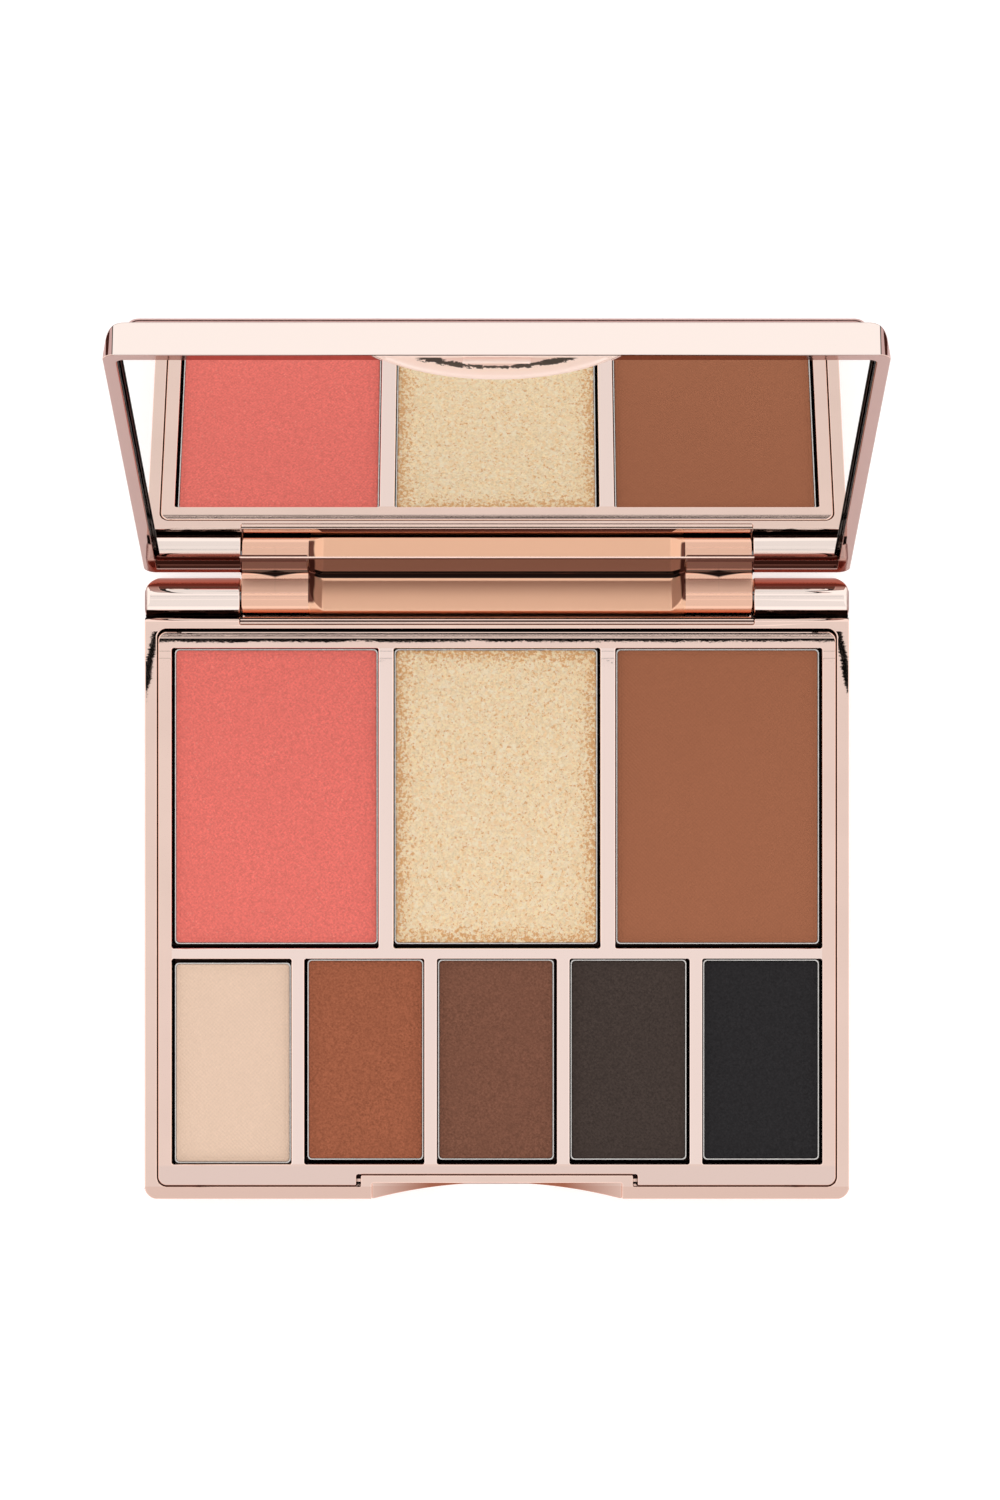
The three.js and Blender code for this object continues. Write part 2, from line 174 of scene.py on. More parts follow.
# The same lid as distances from the hinge line: out through its back and along to its free end
LID_RIM_OUT = LID_BOTTOM_Z - HINGE_Z
LID_END = HINGE_Y - LID_FRONT_Y
MIRROR_ALONG = HINGE_Y - MIRROR_REAR_Y

# Making of the shapes
CLEAR = 1  # how far a cutting tool runs past what it cuts
CLEAR_Z = 12  # above everything on the base
SLIVER = 0.012  # edges shorter than this are merged away before rounding

# Powder colours are linear light; the kind says how coarse the grain is and how it glitters
LARGE_POWDERS = [
    {"name": "coral", "colour": (0.876, 0.194, 0.159), "kind": "shimmer"},
    {"name": "champagne", "colour": (1.0, 0.77, 0.48), "kind": "glitter"},
    {"name": "bronze", "colour": (0.387, 0.141, 0.0729), "kind": "matte"},
]
SMALL_POWDERS = [
    {"name": "cream", "colour": (0.87, 0.63, 0.48), "kind": "matte"},
    {"name": "terracotta", "colour": (0.372, 0.116, 0.059), "kind": "grain"},
    {"name": "chestnut", "colour": (0.21, 0.087, 0.0543), "kind": "grain"},
    {"name": "umber", "colour": (0.0597, 0.0425, 0.0361), "kind": "grain"},
    {"name": "black", "colour": (0.0244, 0.0227, 0.0241), "kind": "grain"},
]
# How far the grain's colour strays from the powder's own
GRAIN_SPREAD = {"matte": 0.05, "grain": 0.34, "shimmer": 0.2, "glitter": 0.2}
FLAKE_PALE = (1.0, 0.84, 0.62, 1)
FLAKE_DEEP = (0.95, 0.6, 0.28, 1)
CRUMB_ORANGE = (0.75, 0.33, 0.09, 1)
PEARL_PINK = (1.0, 0.5, 0.4, 1)

# Lacquer colour, linear light; every colour after it is painted light laid on the lacquer: painted
# highlights, painted reflections and painted shade
ROSE_GOLD = (0.93, 0.69, 0.6)
LUG_REFLECTION_GOLD = (0.95, 0.57, 0.42, 1)
HOLLOW_REFLECTION_GOLD = (0.98, 0.565, 0.38, 1)
SHOULDER_HIGHLIGHT_GOLD = (1.0, 0.85, 0.78, 1)
DIVIDER_HIGHLIGHT_GOLD = (1.0, 0.8, 0.73, 1)
TRAY_FRONT_REFLECTION_GOLD = (0.88, 0.67, 0.6, 1)
RIM_SHADE_GOLD = (0.46, 0.28, 0.25, 1)
END_HIGHLIGHT_GOLD = (0.95, 0.82, 0.76, 1)
CORNER_SHADE_GOLD = (0.55, 0.345, 0.32, 1)
FRONT_REFLECTION_GOLD = (0.86, 0.6, 0.51, 1)
PAINTED_SHADE_BROWN = (0.14, 0.05, 0.035, 1)
MOON_HIGHLIGHT_PALE = (1.0, 0.78, 0.69, 1)
MOON_REFLECTION_PINK = (0.86, 0.6, 0.52, 1)
PAINTED_SHADE_RED = (0.42, 0.15, 0.09, 1)
REAR_REFLECTION_RED = (0.36, 0.09, 0.06, 1)
SIDE_REFLECTION_RED = (0.3, 0.15, 0.13, 1)
PAINTED_SHADE_BLACK = (0.012, 0.006, 0.005, 1)

# Sizes of the noise in the surfaces, in waves per metre
CLOUD_WAVES = 90
FLOW_WAVES = 140
POLISH_WAVES = 260
# The next size breaks up the edge of the painted dark reflection on the finger dish
ARC_BREAK_WAVES = 700
MARK_WAVES = 900
PEEL_WAVES = 1900
CRUMB_WAVES = 1900
FLAKE_CELLS = 2100
GRAIN_WAVES = 2900
PEARL_CELLS = 4200
CLOTH_TURNS = 9500  # radians per metre of the pressing cloth's weave
GAP_REACH = 0.9 * MM  # how far a gap's walls shade its bottom


# ---------------------------------------------------------------- shape tools


def arc(cx, cy, r, start, end, steps=10):
    """Points round a centre from one angle to another, in degrees."""
    angles = [math.radians(start + (end - start) * i / steps) for i in range(steps + 1)]
    return [(cx + r * math.cos(a), cy + r * math.sin(a)) for a in angles]


def bezier(p0, p1, p2, p3, steps=10):
    """Points along a cubic curve, without its first point."""
    points = []
    for i in range(1, steps + 1):
        t = i / steps
        s = 1 - t
        points.append(
            tuple(
                s**3 * a + 3 * s * s * t * b + 3 * s * t * t * c + t**3 * d
                for a, b, c, d in zip(p0, p1, p2, p3)
            )
        )
    return points


def rounded_rect(x0, x1, y0, y1, r, rear_r=None, steps=10):
    """A rectangle with round corners, whose two rear ones may have another radius."""
    rear = r if rear_r is None else rear_r
    return (
        arc(x1 - r, y0 + r, r, -90, 0, steps)
        + arc(x1 - rear, y1 - rear, rear, 0, 90, steps)
        + arc(x0 + rear, y1 - rear, rear, 90, 180, steps)
        + arc(x0 + r, y0 + r, r, 180, 270, steps)
    )


def rect(x0, x1, y0, y1):
    """A rectangle with square corners."""
    return [(x0, y0), (x1, y0), (x1, y1), (x0, y1)]


def as_object(name, mesh):
    """A bmesh as a new object, with its normals facing out."""
    bmesh.ops.recalc_face_normals(mesh, faces=mesh.faces)
    data = bpy.data.meshes.new(name)
    mesh.to_mesh(data)
    mesh.free()
    obj = bpy.data.objects.new(name, data)
    bpy.context.scene.collection.objects.link(obj)
    return obj


def prism(name, points, low, high, axis="z"):
    """A closed outline drawn out along an axis: (x, y) points for z, (y, z) for x and (x, z) for y."""
    point = {
        "x": lambda a, b, t: (t, a, b),
        "y": lambda a, b, t: (a, t, b),
        "z": lambda a, b, t: (a, b, t),
    }[axis]
    mesh = bmesh.new()
    near = [mesh.verts.new(point(a, b, low)) for a, b in points]
    far = [mesh.verts.new(point(a, b, high)) for a, b in points]
    mesh.faces.new(near)
    mesh.faces.new(far)
    for i in range(len(points)):
        j = (i + 1) % len(points)
        mesh.faces.new((near[i], near[j], far[j], far[i]))
    return as_object(name, mesh)


def stack(name, rings):
    """A closed body through rings of points, from the first to the last."""
    mesh = bmesh.new()
    levels = [[mesh.verts.new(point) for point in ring] for ring in rings]
    for lower, upper in zip(levels, levels[1:]):
        for i in range(len(lower)):
            j = (i + 1) % len(lower)
            mesh.faces.new((lower[i], lower[j], upper[j], upper[i]))
    mesh.faces.new(levels[0])
    mesh.faces.new(levels[-1])
    return as_object(name, mesh)


def bake(obj):
    """Turns an object's modifiers into its mesh."""
    bpy.context.view_layer.update()
    evaluated = obj.evaluated_get(bpy.context.evaluated_depsgraph_get())
    mesh = bpy.data.meshes.new_from_object(evaluated)
    old = obj.data
    obj.modifiers.clear()
    obj.data = mesh
    bpy.data.meshes.remove(old)
    return obj


def combine(target, tool, operation):
    """Joins a target with a tool, or cuts one by the other, and removes the tool."""
    modifier = target.modifiers.new("combine", "BOOLEAN")
    modifier.object = tool
    modifier.operation = operation
    modifier.solver = "EXACT"
    bake(target)
    bpy.data.objects.remove(tool)
    return target


def cut(target, tool):
    return combine(target, tool, "DIFFERENCE")


def soften(obj, width, segments=3, angle=30):
    """Rounds every edge that turns by more than an angle, after merging the slivers left by cutting."""
    mesh = bmesh.new()
    mesh.from_mesh(obj.data)
    bmesh.ops.remove_doubles(mesh, verts=mesh.verts, dist=SLIVER)
    flat = math.radians(0.5)
    bmesh.ops.dissolve_limit(mesh, angle_limit=flat, verts=mesh.verts, edges=mesh.edges)
    mesh.to_mesh(obj.data)
    mesh.free()
    bevel = obj.modifiers.new("soften", "BEVEL")
    bevel.use_clamp_overlap = False
    bevel.width = width
    bevel.segments = segments
    bevel.limit_method = "ANGLE"
    bevel.angle_limit = math.radians(angle)
    bevel.miter_outer = "MITER_ARC"
    return bake(obj)


def bevel_top(obj, z, width, segments=8):
    """Rounds only the edges that lie at one height."""
    mesh = bmesh.new()
    mesh.from_mesh(obj.data)
    edges = [e for e in mesh.edges if all(abs(v.co.z - z) < 1e-4 for v in e.verts)]
    bmesh.ops.bevel(mesh, geom=edges, offset=width, segments=segments, profile=0.5, affect="EDGES")
    mesh.to_mesh(obj.data)
    mesh.free()
    return obj


def smooth_shading(obj, angle=42):
    """Shades gentle turns as smooth and keeps sharper ones as edges."""
    mesh = obj.data
    mesh.polygons.foreach_set("use_smooth", [True] * len(mesh.polygons))
    mesh.set_sharp_from_angle(angle=math.radians(angle))
    weighted = obj.modifiers.new("weighted", "WEIGHTED_NORMAL")
    weighted.keep_sharp = True
    return bake(obj)


def to_metres(obj, on_lid):
    """Scales a piece laid out in millimetres, and turns a lid piece open to the rest position."""
    if on_lid:
        pivot = Vector((0, HINGE_Y, HINGE_Z))
        turn = Matrix.Rotation(-math.radians(REST_OPEN_DEG), 4, "X")
        obj.data.transform(Matrix.Translation(pivot) @ turn @ Matrix.Translation(-pivot))
    obj.data.transform(Matrix.Scale(MM, 4))


def place(obj, body, nodes, material):
    """Finishes a piece, hangs it on its body and hides the CAD nodes that it stands for."""
    smooth_shading(obj)
    to_metres(obj, body == "lid")
    obj.data.materials.clear()
    obj.data.materials.append(material)
    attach(obj, body)
    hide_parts(*nodes)
    return obj


# ---------------------------------------------------------------- materials


class Nodes:
    """A material's node tree with short calls for the nodes used here."""

    def __init__(self, name):
        self.material = bpy.data.materials.new(name)
        self.material.use_nodes = True
        self.tree = self.material.node_tree
        self.shader = self.tree.nodes["Principled BSDF"]
        self.coords = self.tree.nodes.new("ShaderNodeTexCoord").outputs["Object"]

    def set(self, **values):
        for socket, value in values.items():
            self.shader.inputs[socket.replace("_", " ")].default_value = value

    def link(self, source, target):
        self.tree.links.new(source, target)

    def into(self, socket, source):
        self.link(source, self.shader.inputs[socket])

    def noise(self, scale, detail=2.0, roughness=0.5, stretch=None):
        node = self.tree.nodes.new("ShaderNodeTexNoise")
        node.inputs["Scale"].default_value = scale
        node.inputs["Detail"].default_value = detail
        node.inputs["Roughness"].default_value = roughness
        self.link(self.stretched(stretch), node.inputs["Vector"])
        return node.outputs["Fac"]

    def stretched(self, stretch):
        if stretch is None:
            return self.coords
        mapping = self.tree.nodes.new("ShaderNodeMapping")
        mapping.inputs["Scale"].default_value = stretch
        self.link(self.coords, mapping.inputs["Vector"])
        return mapping.outputs["Vector"]

    def cells(self, scale, output="Color", randomness=1.0):
        node = self.tree.nodes.new("ShaderNodeTexVoronoi")
        node.inputs["Scale"].default_value = scale
        node.inputs["Randomness"].default_value = randomness
        self.link(self.coords, node.inputs["Vector"])
        return node.outputs[output]

    def remap(self, source, low, high, to_low, to_high):
        node = self.tree.nodes.new("ShaderNodeMapRange")
        node.inputs["From Min"].default_value = low
        node.inputs["From Max"].default_value = high
        node.inputs["To Min"].default_value = to_low
        node.inputs["To Max"].default_value = to_high
        self.link(source, node.inputs["Value"])
        return node.outputs["Result"]

    def math(self, operation, a, b):
        node = self.tree.nodes.new("ShaderNodeMath")
        node.operation = operation
        for socket, value in zip(node.inputs, (a, b)):
            if isinstance(value, (int, float)):
                socket.default_value = value
            else:
                self.link(value, socket)
        return node.outputs["Value"]

    def mix(self, factor, a, b):
        node = self.tree.nodes.new("ShaderNodeMix")
        node.data_type = "RGBA"
        for socket, value in {"Factor": factor, "A": a, "B": b}.items():
            if isinstance(value, (int, float, tuple)):
                node.inputs[socket].default_value = value
            else:
                self.link(value, node.inputs[socket])
        return node.outputs["Result"]

    def axis(self, name):
        node = self.tree.nodes.new("ShaderNodeSeparateXYZ")
        self.link(self.coords, node.inputs["Vector"])
        return node.outputs[name]

    def vector(self, operation, a, b):
        node = self.tree.nodes.new("ShaderNodeVectorMath")
        node.operation = operation
        self.link(a, node.inputs[0])
        node.inputs[1].default_value = b
        return node.outputs

    def dot(self, outputs, direction):
        return self.vector("DOT_PRODUCT", outputs["Vector"], direction)["Value"]

    def between(self, source, low, high, edge=0.04):
        """1 where a distance in metres lies between two values given in millimetres, with soft ends."""
        return self.math("MULTIPLY", self.above(source, low, edge), self.below(source, high, edge))

    def above(self, source, low, edge=0.04):
        """1 where a distance in metres is over a value given in millimetres."""
        return self.remap(source, (low - edge) * MM, (low + edge) * MM, 0, 1)

    def below(self, source, high, edge=0.04):
        """1 where a distance in metres is under a value given in millimetres."""
        return self.remap(source, (high - edge) * MM, (high + edge) * MM, 1, 0)

    def across(self):
        """Distance from the middle of the case."""
        return self.size(self.axis("X"))

    def size(self, source):
        """A value without its sign."""
        return self.math("ABSOLUTE", source, 0)

    def tint(self, gold, colour, *masks):
        """Changes the colour where every mask is 1."""
        return self.mix(self.all_of(*masks), gold, colour)

    def all_of(self, first, *others):
        """1 where every mask is 1."""
        mask = first
        for other in others:
            mask = self.math("MULTIPLY", mask, other)
        return mask

    def openness(self, reach):
        """How much of the sky a point sees within a short reach: 1 in the open, near 0 deep in a gap."""
        node = self.tree.nodes.new("ShaderNodeAmbientOcclusion")
        node.samples = 8
        node.inputs["Distance"].default_value = reach
        return node.outputs["AO"]

    def bump(self, height, distance, strength=1.0, below=None):
        node = self.tree.nodes.new("ShaderNodeBump")
        node.inputs["Distance"].default_value = distance
        node.inputs["Strength"].default_value = strength
        self.link(height, node.inputs["Height"])
        if below is not None:
            self.link(below, node.inputs["Normal"])
        return node.outputs["Normal"]


def shade(colour, factor):
    """A colour made darker or paler, with full alpha."""
    return tuple(c * factor for c in colour) + (1.0,)


def metallised(name, colour, roughness=0.04, waviness=0.18, painted_light=None, dullness=None):
    """Vacuum-metallised plastic: mirror-like, with the faint flow waves and orange peel of the moulding.

    The bottoms of narrow gaps are painted dark where they see little sky: painted shade.
    """
    m = Nodes(name)
    m.set(Metallic=1.0)
    cloud = m.remap(m.noise(CLOUD_WAVES, 3), 0.3, 0.7, 0, 1)
    gold = m.mix(cloud, shade(colour, 0.97), shade(colour, 1.02))
    if painted_light:
        gold = painted_light(m, gold)
    # Painted shade: gaps that see little sky are painted dark
    gold = m.mix(m.remap(m.openness(GAP_REACH), 0.1, 0.34, 0, 1), PAINTED_SHADE_BLACK, gold)
    m.into("Base Color", gold)
    polish = m.remap(m.noise(POLISH_WAVES, 4), 0.3, 0.7, roughness * 0.8, roughness * 1.25)
    if dullness:
        polish = m.math("MAXIMUM", polish, dullness(m))
    m.into("Roughness", polish)
    waves = m.bump(m.noise(FLOW_WAVES, 1), 0.00006 * waviness)
    peel = m.bump(m.noise(PEEL_WAVES, 2), 0.000004 * waviness, below=waves)
    m.into("Normal", peel)
    return m.material


def base_painted_light(m, gold):
    """Painted light on the base: painted shade inside, a painted warm reflection on its front rim, painted
    red shade under the notch, and by the shoulders a painted highlight, painted red reflections and a
    painted dark line in the valley.
    """
    across = m.across()
    depth = m.axis("Y")
    height = m.axis("Z")
    gold = m.tint(gold, FRONT_REFLECTION_GOLD, m.below(depth, TRAY_FRONT_Y - 0.1))

    within = m.between(depth, CATCH_FRONT_Y + 0.05, WELL_REAR_Y + 0.1)
    under_rim = m.between(height, FLOOR_Z / 2, TRAY_TOP_Z - 0.2)
    gold = m.tint(gold, PAINTED_SHADE_BLACK, within, under_rim, m.below(across, TRAY_HALF + 0.15))

    shelf = m.between(height, SHELF_Z - 0.1, SHELF_Z + 0.1)
    towards_middle = m.remap(across, 11 * MM, 20 * MM, 1, 0.15)
    gold = m.tint(gold, PAINTED_SHADE_RED, shelf, m.below(depth, CATCH_FRONT_Y + 0.2), towards_middle)

    shoulder = m.all_of(m.between(across, CHANNEL_HALF, HALF_WIDTH), m.above(height, SHOULDER_LOW_Z))
    gold = m.tint(gold, SHOULDER_HIGHLIGHT_GOLD, shoulder, m.between(depth, HINGE_Y - 2.2, HINGE_Y + 1.4, 0.25))
    behind = m.all_of(m.between(across, CHANNEL_HALF, HALF_WIDTH), m.above(height, 5.5))
    gold = m.tint(gold, REAR_REFLECTION_RED, behind, m.between(depth, HINGE_Y + 1.65, HINGE_Y + 3.5, 0.12))
    outer_end = m.all_of(m.above(across, HALF_WIDTH - 0.4, 0.15), m.above(height, SHOULDER_LOW_Z))
    gold = m.tint(gold, SIDE_REFLECTION_RED, outer_end, m.above(depth, HINGE_Y - 3.5))

    ripple = m.remap(m.noise(110, 3), 0.3, 0.7, -0.4 * MM, 0.4 * MM)
    valley = m.between(m.math("ADD", depth, ripple), VALLEY_FRONT_Y, VALLEY_REAR_Y, 0.06)
    return m.tint(gold, PAINTED_SHADE_BLACK, valley, shoulder)


def tray_painted_light(m, gold):
    """Painted light on the tray: a painted highlight over the pocket grid, a painted reflection tone on its
    front strip, and painted shade on its pocket walls below its face.
    """
    depth = m.axis("Y")
    grid = m.all_of(m.below(m.across(), GRID_HALF), m.between(depth, *POCKET_ROWS_Y))
    gold = m.tint(gold, DIVIDER_HIGHLIGHT_GOLD, grid)
    gold = m.tint(gold, TRAY_FRONT_REFLECTION_GOLD, m.between(depth, TRAY_FRONT_Y, POCKET_ROWS_Y[0] - 0.3, 0.2))
    return m.tint(gold, PAINTED_SHADE_BLACK, m.below(m.axis("Z"), TRAY_TOP_Z - 0.34))


def lid_place(m):
    """Distances from the hinge line at rest: along the lid to its free edge, and out through its back."""
    away = m.vector("SUBTRACT", m.coords, (0, HINGE_Y * MM, HINGE_Z * MM))
    turn = math.radians(REST_OPEN_DEG)
    along = m.dot(away, (0, -math.cos(turn), math.sin(turn)))
    out = m.dot(away, (0, math.sin(turn), math.cos(turn)))
    return along, out


def lid_painted_light(m, gold):
    """Painted light on the lid: painted shade on its rim, painted warm reflections on the lugs, painted
    brown shade on the hinge strip, painted black shade round the mirror.
    """
    gold = lid_edge_painted_light(m, gold)
    gold = lid_hinge_painted_light(m, gold)
    return lid_well_painted_shade(m, gold)


def lid_edge_painted_light(m, gold):
    """Painted shade on the rim's face, a painted highlight on the free end, and painted shade on the two
    corner strips with a painted dark line along each.
    """
    along, out = lid_place(m)
    across = m.across()
    gold = m.tint(gold, RIM_SHADE_GOLD, m.between(out, LID_RIM_OUT - 0.08, LID_RIM_OUT + 0.08))
    gold = m.tint(gold, END_HIGHLIGHT_GOLD, m.above(along, LID_END - 0.08))
    wall = m.above(out, LID_RIM_OUT + 0.15)
    line_x = HALF_WIDTH - 1.5
    gold = m.tint(gold, CORNER_SHADE_GOLD, wall, m.above(along, LID_END - 2.2), m.above(across, line_x))
    line = m.between(across, line_x - 0.14, line_x, 0.03)
    return m.tint(gold, PAINTED_SHADE_BLACK, wall, m.above(along, LID_END - 0.5), line)


def lid_hinge_painted_light(m, gold):
    """Painted light on the hollow and the lugs: painted warm reflections on their faces, a painted dark
    line of shade in their inner corners, then the painted brown shade on the strip.
    """
    along, out = lid_place(m)
    across = m.across()
    inner = m.below(out, LID_RIM_OUT + 0.6)
    hollow = m.below(across, LUG_INNER_X + 0.1)
    lugs = m.between(across, LUG_INNER_X + 0.1, BARREL_HALF + 0.05)
    strips = m.between(across, BARREL_HALF + 0.05, HALF_WIDTH - LID_RIM)
    faces = m.below(along, BARREL_R + 0.5)
    before_mirror = m.below(along, MIRROR_ALONG)

    gold = m.tint(gold, LUG_REFLECTION_GOLD, lugs, faces)
    gold = m.tint(gold, HOLLOW_REFLECTION_GOLD, hollow, inner, faces)
    gold = m.tint(gold, PAINTED_SHADE_BLACK, hollow, m.between(out, 2.8, 3.6), m.below(along, 2.6))
    ripple = m.remap(m.noise(150, 1), 0.3, 0.7, -0.3 * MM, 0.3 * MM)
    wavy = m.above(m.math("ADD", along, ripple), 2.5, 0.1)
    gold = m.tint(gold, PAINTED_SHADE_BROWN, hollow, inner, wavy, before_mirror)

    lug_middle = (LUG_INNER_X + BARREL_HALF) / 2 * MM
    from_middle = m.size(m.math("SUBTRACT", across, lug_middle))
    sagging = m.math("ADD", along, m.remap(from_middle, 0, 5 * MM, 0.6 * MM, 0))
    gold = m.tint(gold, PAINTED_SHADE_BLACK, lugs, inner, m.above(sagging, 3.65, 0.06), m.below(along, 4.9))
    gold = m.tint(gold, PAINTED_SHADE_BROWN, lugs, inner, m.between(along, 5.5, MIRROR_ALONG))
    strip_wall = m.between(out, LID_RIM_OUT + 0.1, LID_RIM_OUT + 1)
    return m.tint(gold, PAINTED_SHADE_BROWN, strips, strip_wall, m.between(along, 5, MIRROR_ALONG))


def lid_well_painted_shade(m, gold):
    """Painted deep shade in the gap round the mirror and in the seat of the finger plate."""
    along, out = lid_place(m)
    across = m.across()
    seat = m.all_of(m.below(across, MOON_R + 1.4), m.between(along, LID_END - 3, LID_END - 0.2))
    gold = m.tint(gold, PAINTED_SHADE_BLACK, seat, m.between(out, LID_RIM_OUT + 0.15, 4.2))
    well = m.between(along, MIRROR_ALONG - 0.05, LID_END - LID_RIM + 0.05)
    gap_sides = m.below(across, HALF_WIDTH - LID_RIM + 0.1)
    return m.tint(gold, PAINTED_SHADE_BLACK, well, m.between(out, LID_RIM_OUT + 0.1, 5.4), gap_sides)


def lid_dullness(m):
    """The roughness of the satin hollow's floor and lug faces, and 0 on the rest of the lid."""
    along, out = lid_place(m)
    across = m.across()
    floor = m.all_of(m.below(across, LUG_INNER_X - 0.1), m.below(out, 2.75))
    faces = m.all_of(m.between(across, LUG_INNER_X, BARREL_HALF), m.between(out, -0.5, 2.2, 0.3))
    satin = m.all_of(m.math("MAXIMUM", floor, faces), m.below(along, BARREL_R + 0.3))
    return m.math("MULTIPLY", satin, 0.3)


def satin_dish(name):
    """The finger dish: satin metal painted pale as a painted highlight, with a painted pink reflection on
    the chord side of a painted dark reflection that follows its curve.
    """
    m = Nodes(name)
    along, out = lid_place(m)
    across = m.across()
    from_centre = m.math("SUBTRACT", along, (HINGE_Y - CREASE_CENTRE_Y) * MM)
    squares = [m.math("MULTIPLY", side, side) for side in (across, from_centre)]
    from_crease = m.math("SUBTRACT", m.math("SQRT", m.math("ADD", *squares), 0), CREASE_R * MM)
    dish = m.above(out, MOON_FACE_Z - HINGE_Z + 0.06, 0.03)
    gold = m.tint(MOON_HIGHLIGHT_PALE, MOON_REFLECTION_PINK, m.below(from_crease, 0, 0.4), dish)

    flecks = m.remap(m.noise(ARC_BREAK_WAVES, 3, 0.8), 0.35, 0.65, -0.6 * MM, 0.6 * MM)
    taper = m.math("MULTIPLY", across, -0.07)
    off_crease = m.math("ADD", m.size(from_crease), m.math("ADD", taper, flecks))
    dark_reflection = m.all_of(m.below(off_crease, 0.42, 0.12), m.below(across, CREASE_HALF, 0.5))
    m.into("Base Color", m.tint(gold, PAINTED_SHADE_BLACK, dish, dark_reflection))
    m.into("Roughness", m.remap(m.noise(POLISH_WAVES, 4), 0.3, 0.7, 0.3, 0.42))
    m.set(Metallic=0.25)
    return m.material


def plate_painted_shade(m, gold):
    """Painted shade on the cover plate where it rounds over at its free end."""
    along, _ = lid_place(m)
    return m.tint(gold, CORNER_SHADE_GOLD, m.above(along, HINGE_Y - PLATE_FRONT_Y - 1, 0.1))


def pressed_aluminium(name):
    """Thin drawn aluminium with faint drawing marks, and painted shade down its outer wall."""
    m = Nodes(name)
    m.set(Metallic=1.0)
    marks = m.noise(MARK_WAVES, 3, stretch=(1, 1, 9))
    metal = m.mix(marks, (0.55, 0.52, 0.5, 1), (0.86, 0.83, 0.8, 1))
    # Painted shade on the outer wall below the rim
    m.into("Base Color", m.tint(metal, PAINTED_SHADE_BLACK, m.below(m.axis("Z"), PAN_TOP_Z - 0.12)))
    m.into("Roughness", m.remap(marks, 0.3, 0.7, 0.16, 0.3))
    m.into("Normal", m.bump(m.noise(1200, 2), 0.00001))
    return m.material


def mirror_glass(name):
    """A silvered mirror with the faintest haze."""
    m = Nodes(name)
    m.set(Metallic=1.0, Base_Color=(0.955, 0.96, 0.955, 1))
    m.into("Roughness", m.remap(m.noise(40, 2), 0.3, 0.7, 0.0, 0.012))
    return m.material


def steel(name):
    """Turned steel with fine lines round it."""
    m = Nodes(name)
    m.set(Metallic=1.0)
    lines = m.noise(1400, 3, stretch=(0.1, 1, 1))
    m.into("Base Color", m.mix(lines, (0.42, 0.43, 0.44, 1), (0.6, 0.61, 0.62, 1)))
    m.into("Roughness", m.remap(lines, 0.3, 0.7, 0.25, 0.4))
    return m.material


def soft_pad(name, colour):
    """Closed-cell foam or set glue."""
    m = Nodes(name)
    pores = m.cells(2600, "Distance")
    m.into("Base Color", m.mix(pores, shade(colour, 0.8), shade(colour, 1.15)))
    m.into("Normal", m.bump(pores, 0.00005))
    m.set(Roughness=0.85)
    return m.material


def pressed_powder(powder, centre, half_size):
    """Pressed powder: a fine grain in colour and height, over the faint print of the pressing cloth."""
    m = Nodes("powder_" + powder["name"])
    colour = powder["colour"]
    grain = m.noise(GRAIN_WAVES, 3, 0.7)
    cloud = m.noise(160, 3)
    spread = GRAIN_SPREAD[powder["kind"]]
    fine = m.mix(m.remap(grain, 0.3, 0.7, 0, 1), shade(colour, 1 - spread), shade(colour, 1 + spread))
    base = m.mix(m.remap(cloud, 0.35, 0.65, 0, 0.25), fine, shade(colour, 0.94))
    print_x, print_y = (m.math("SINE", m.math("MULTIPLY", m.axis(a), CLOTH_TURNS), 0) for a in "XY")
    cloth = m.math("MULTIPLY", print_x, print_y)
    base = m.mix(m.remap(cloth, -1, 1, 0.14, 0), base, shade(colour, 0.6))
    relief = m.bump(cloth, 0.000008)
    relief = m.bump(grain, 0.00003, below=relief)
    m.set(Roughness=0.92, Specular_IOR_Level=0.12)
    if powder["kind"] == "shimmer":
        base = with_sparkle(m, base)
    if powder["kind"] == "glitter":
        base, relief = with_flakes(m, base, relief, edge_nearness(m, centre, half_size))
    m.into("Base Color", base)
    m.into("Normal", relief)
    return m.material


def edge_nearness(m, centre, half_size):
    """1 at the edge of a cake, falling to 0 a few millimetres in from it. The place is in millimetres."""
    gaps = []
    for axis, middle, half in zip("XY", centre, half_size):
        away = m.size(m.math("SUBTRACT", m.axis(axis), middle * MM))
        gaps.append(m.math("SUBTRACT", half * MM, away))
    return m.remap(m.math("MINIMUM", *gaps), 0, 3.5 * MM, 1, 0)


def cell_values(m, scale):
    """Three unrelated values from 0 to 1 for each cell of a scattered pattern."""
    node = m.tree.nodes.new("ShaderNodeSeparateColor")
    m.link(m.cells(scale), node.inputs["Color"])
    return node.outputs["Red"], node.outputs["Green"], node.outputs["Blue"]


def with_sparkle(m, base):
    """A few tiny pearl specks that are slightly paler than the powder."""
    share = 0.015
    pick, _, _ = cell_values(m, PEARL_CELLS)
    chosen = m.math("GREATER_THAN", pick, 1 - share)
    return m.mix(m.math("MULTIPLY", chosen, 0.16), base, PEARL_PINK)


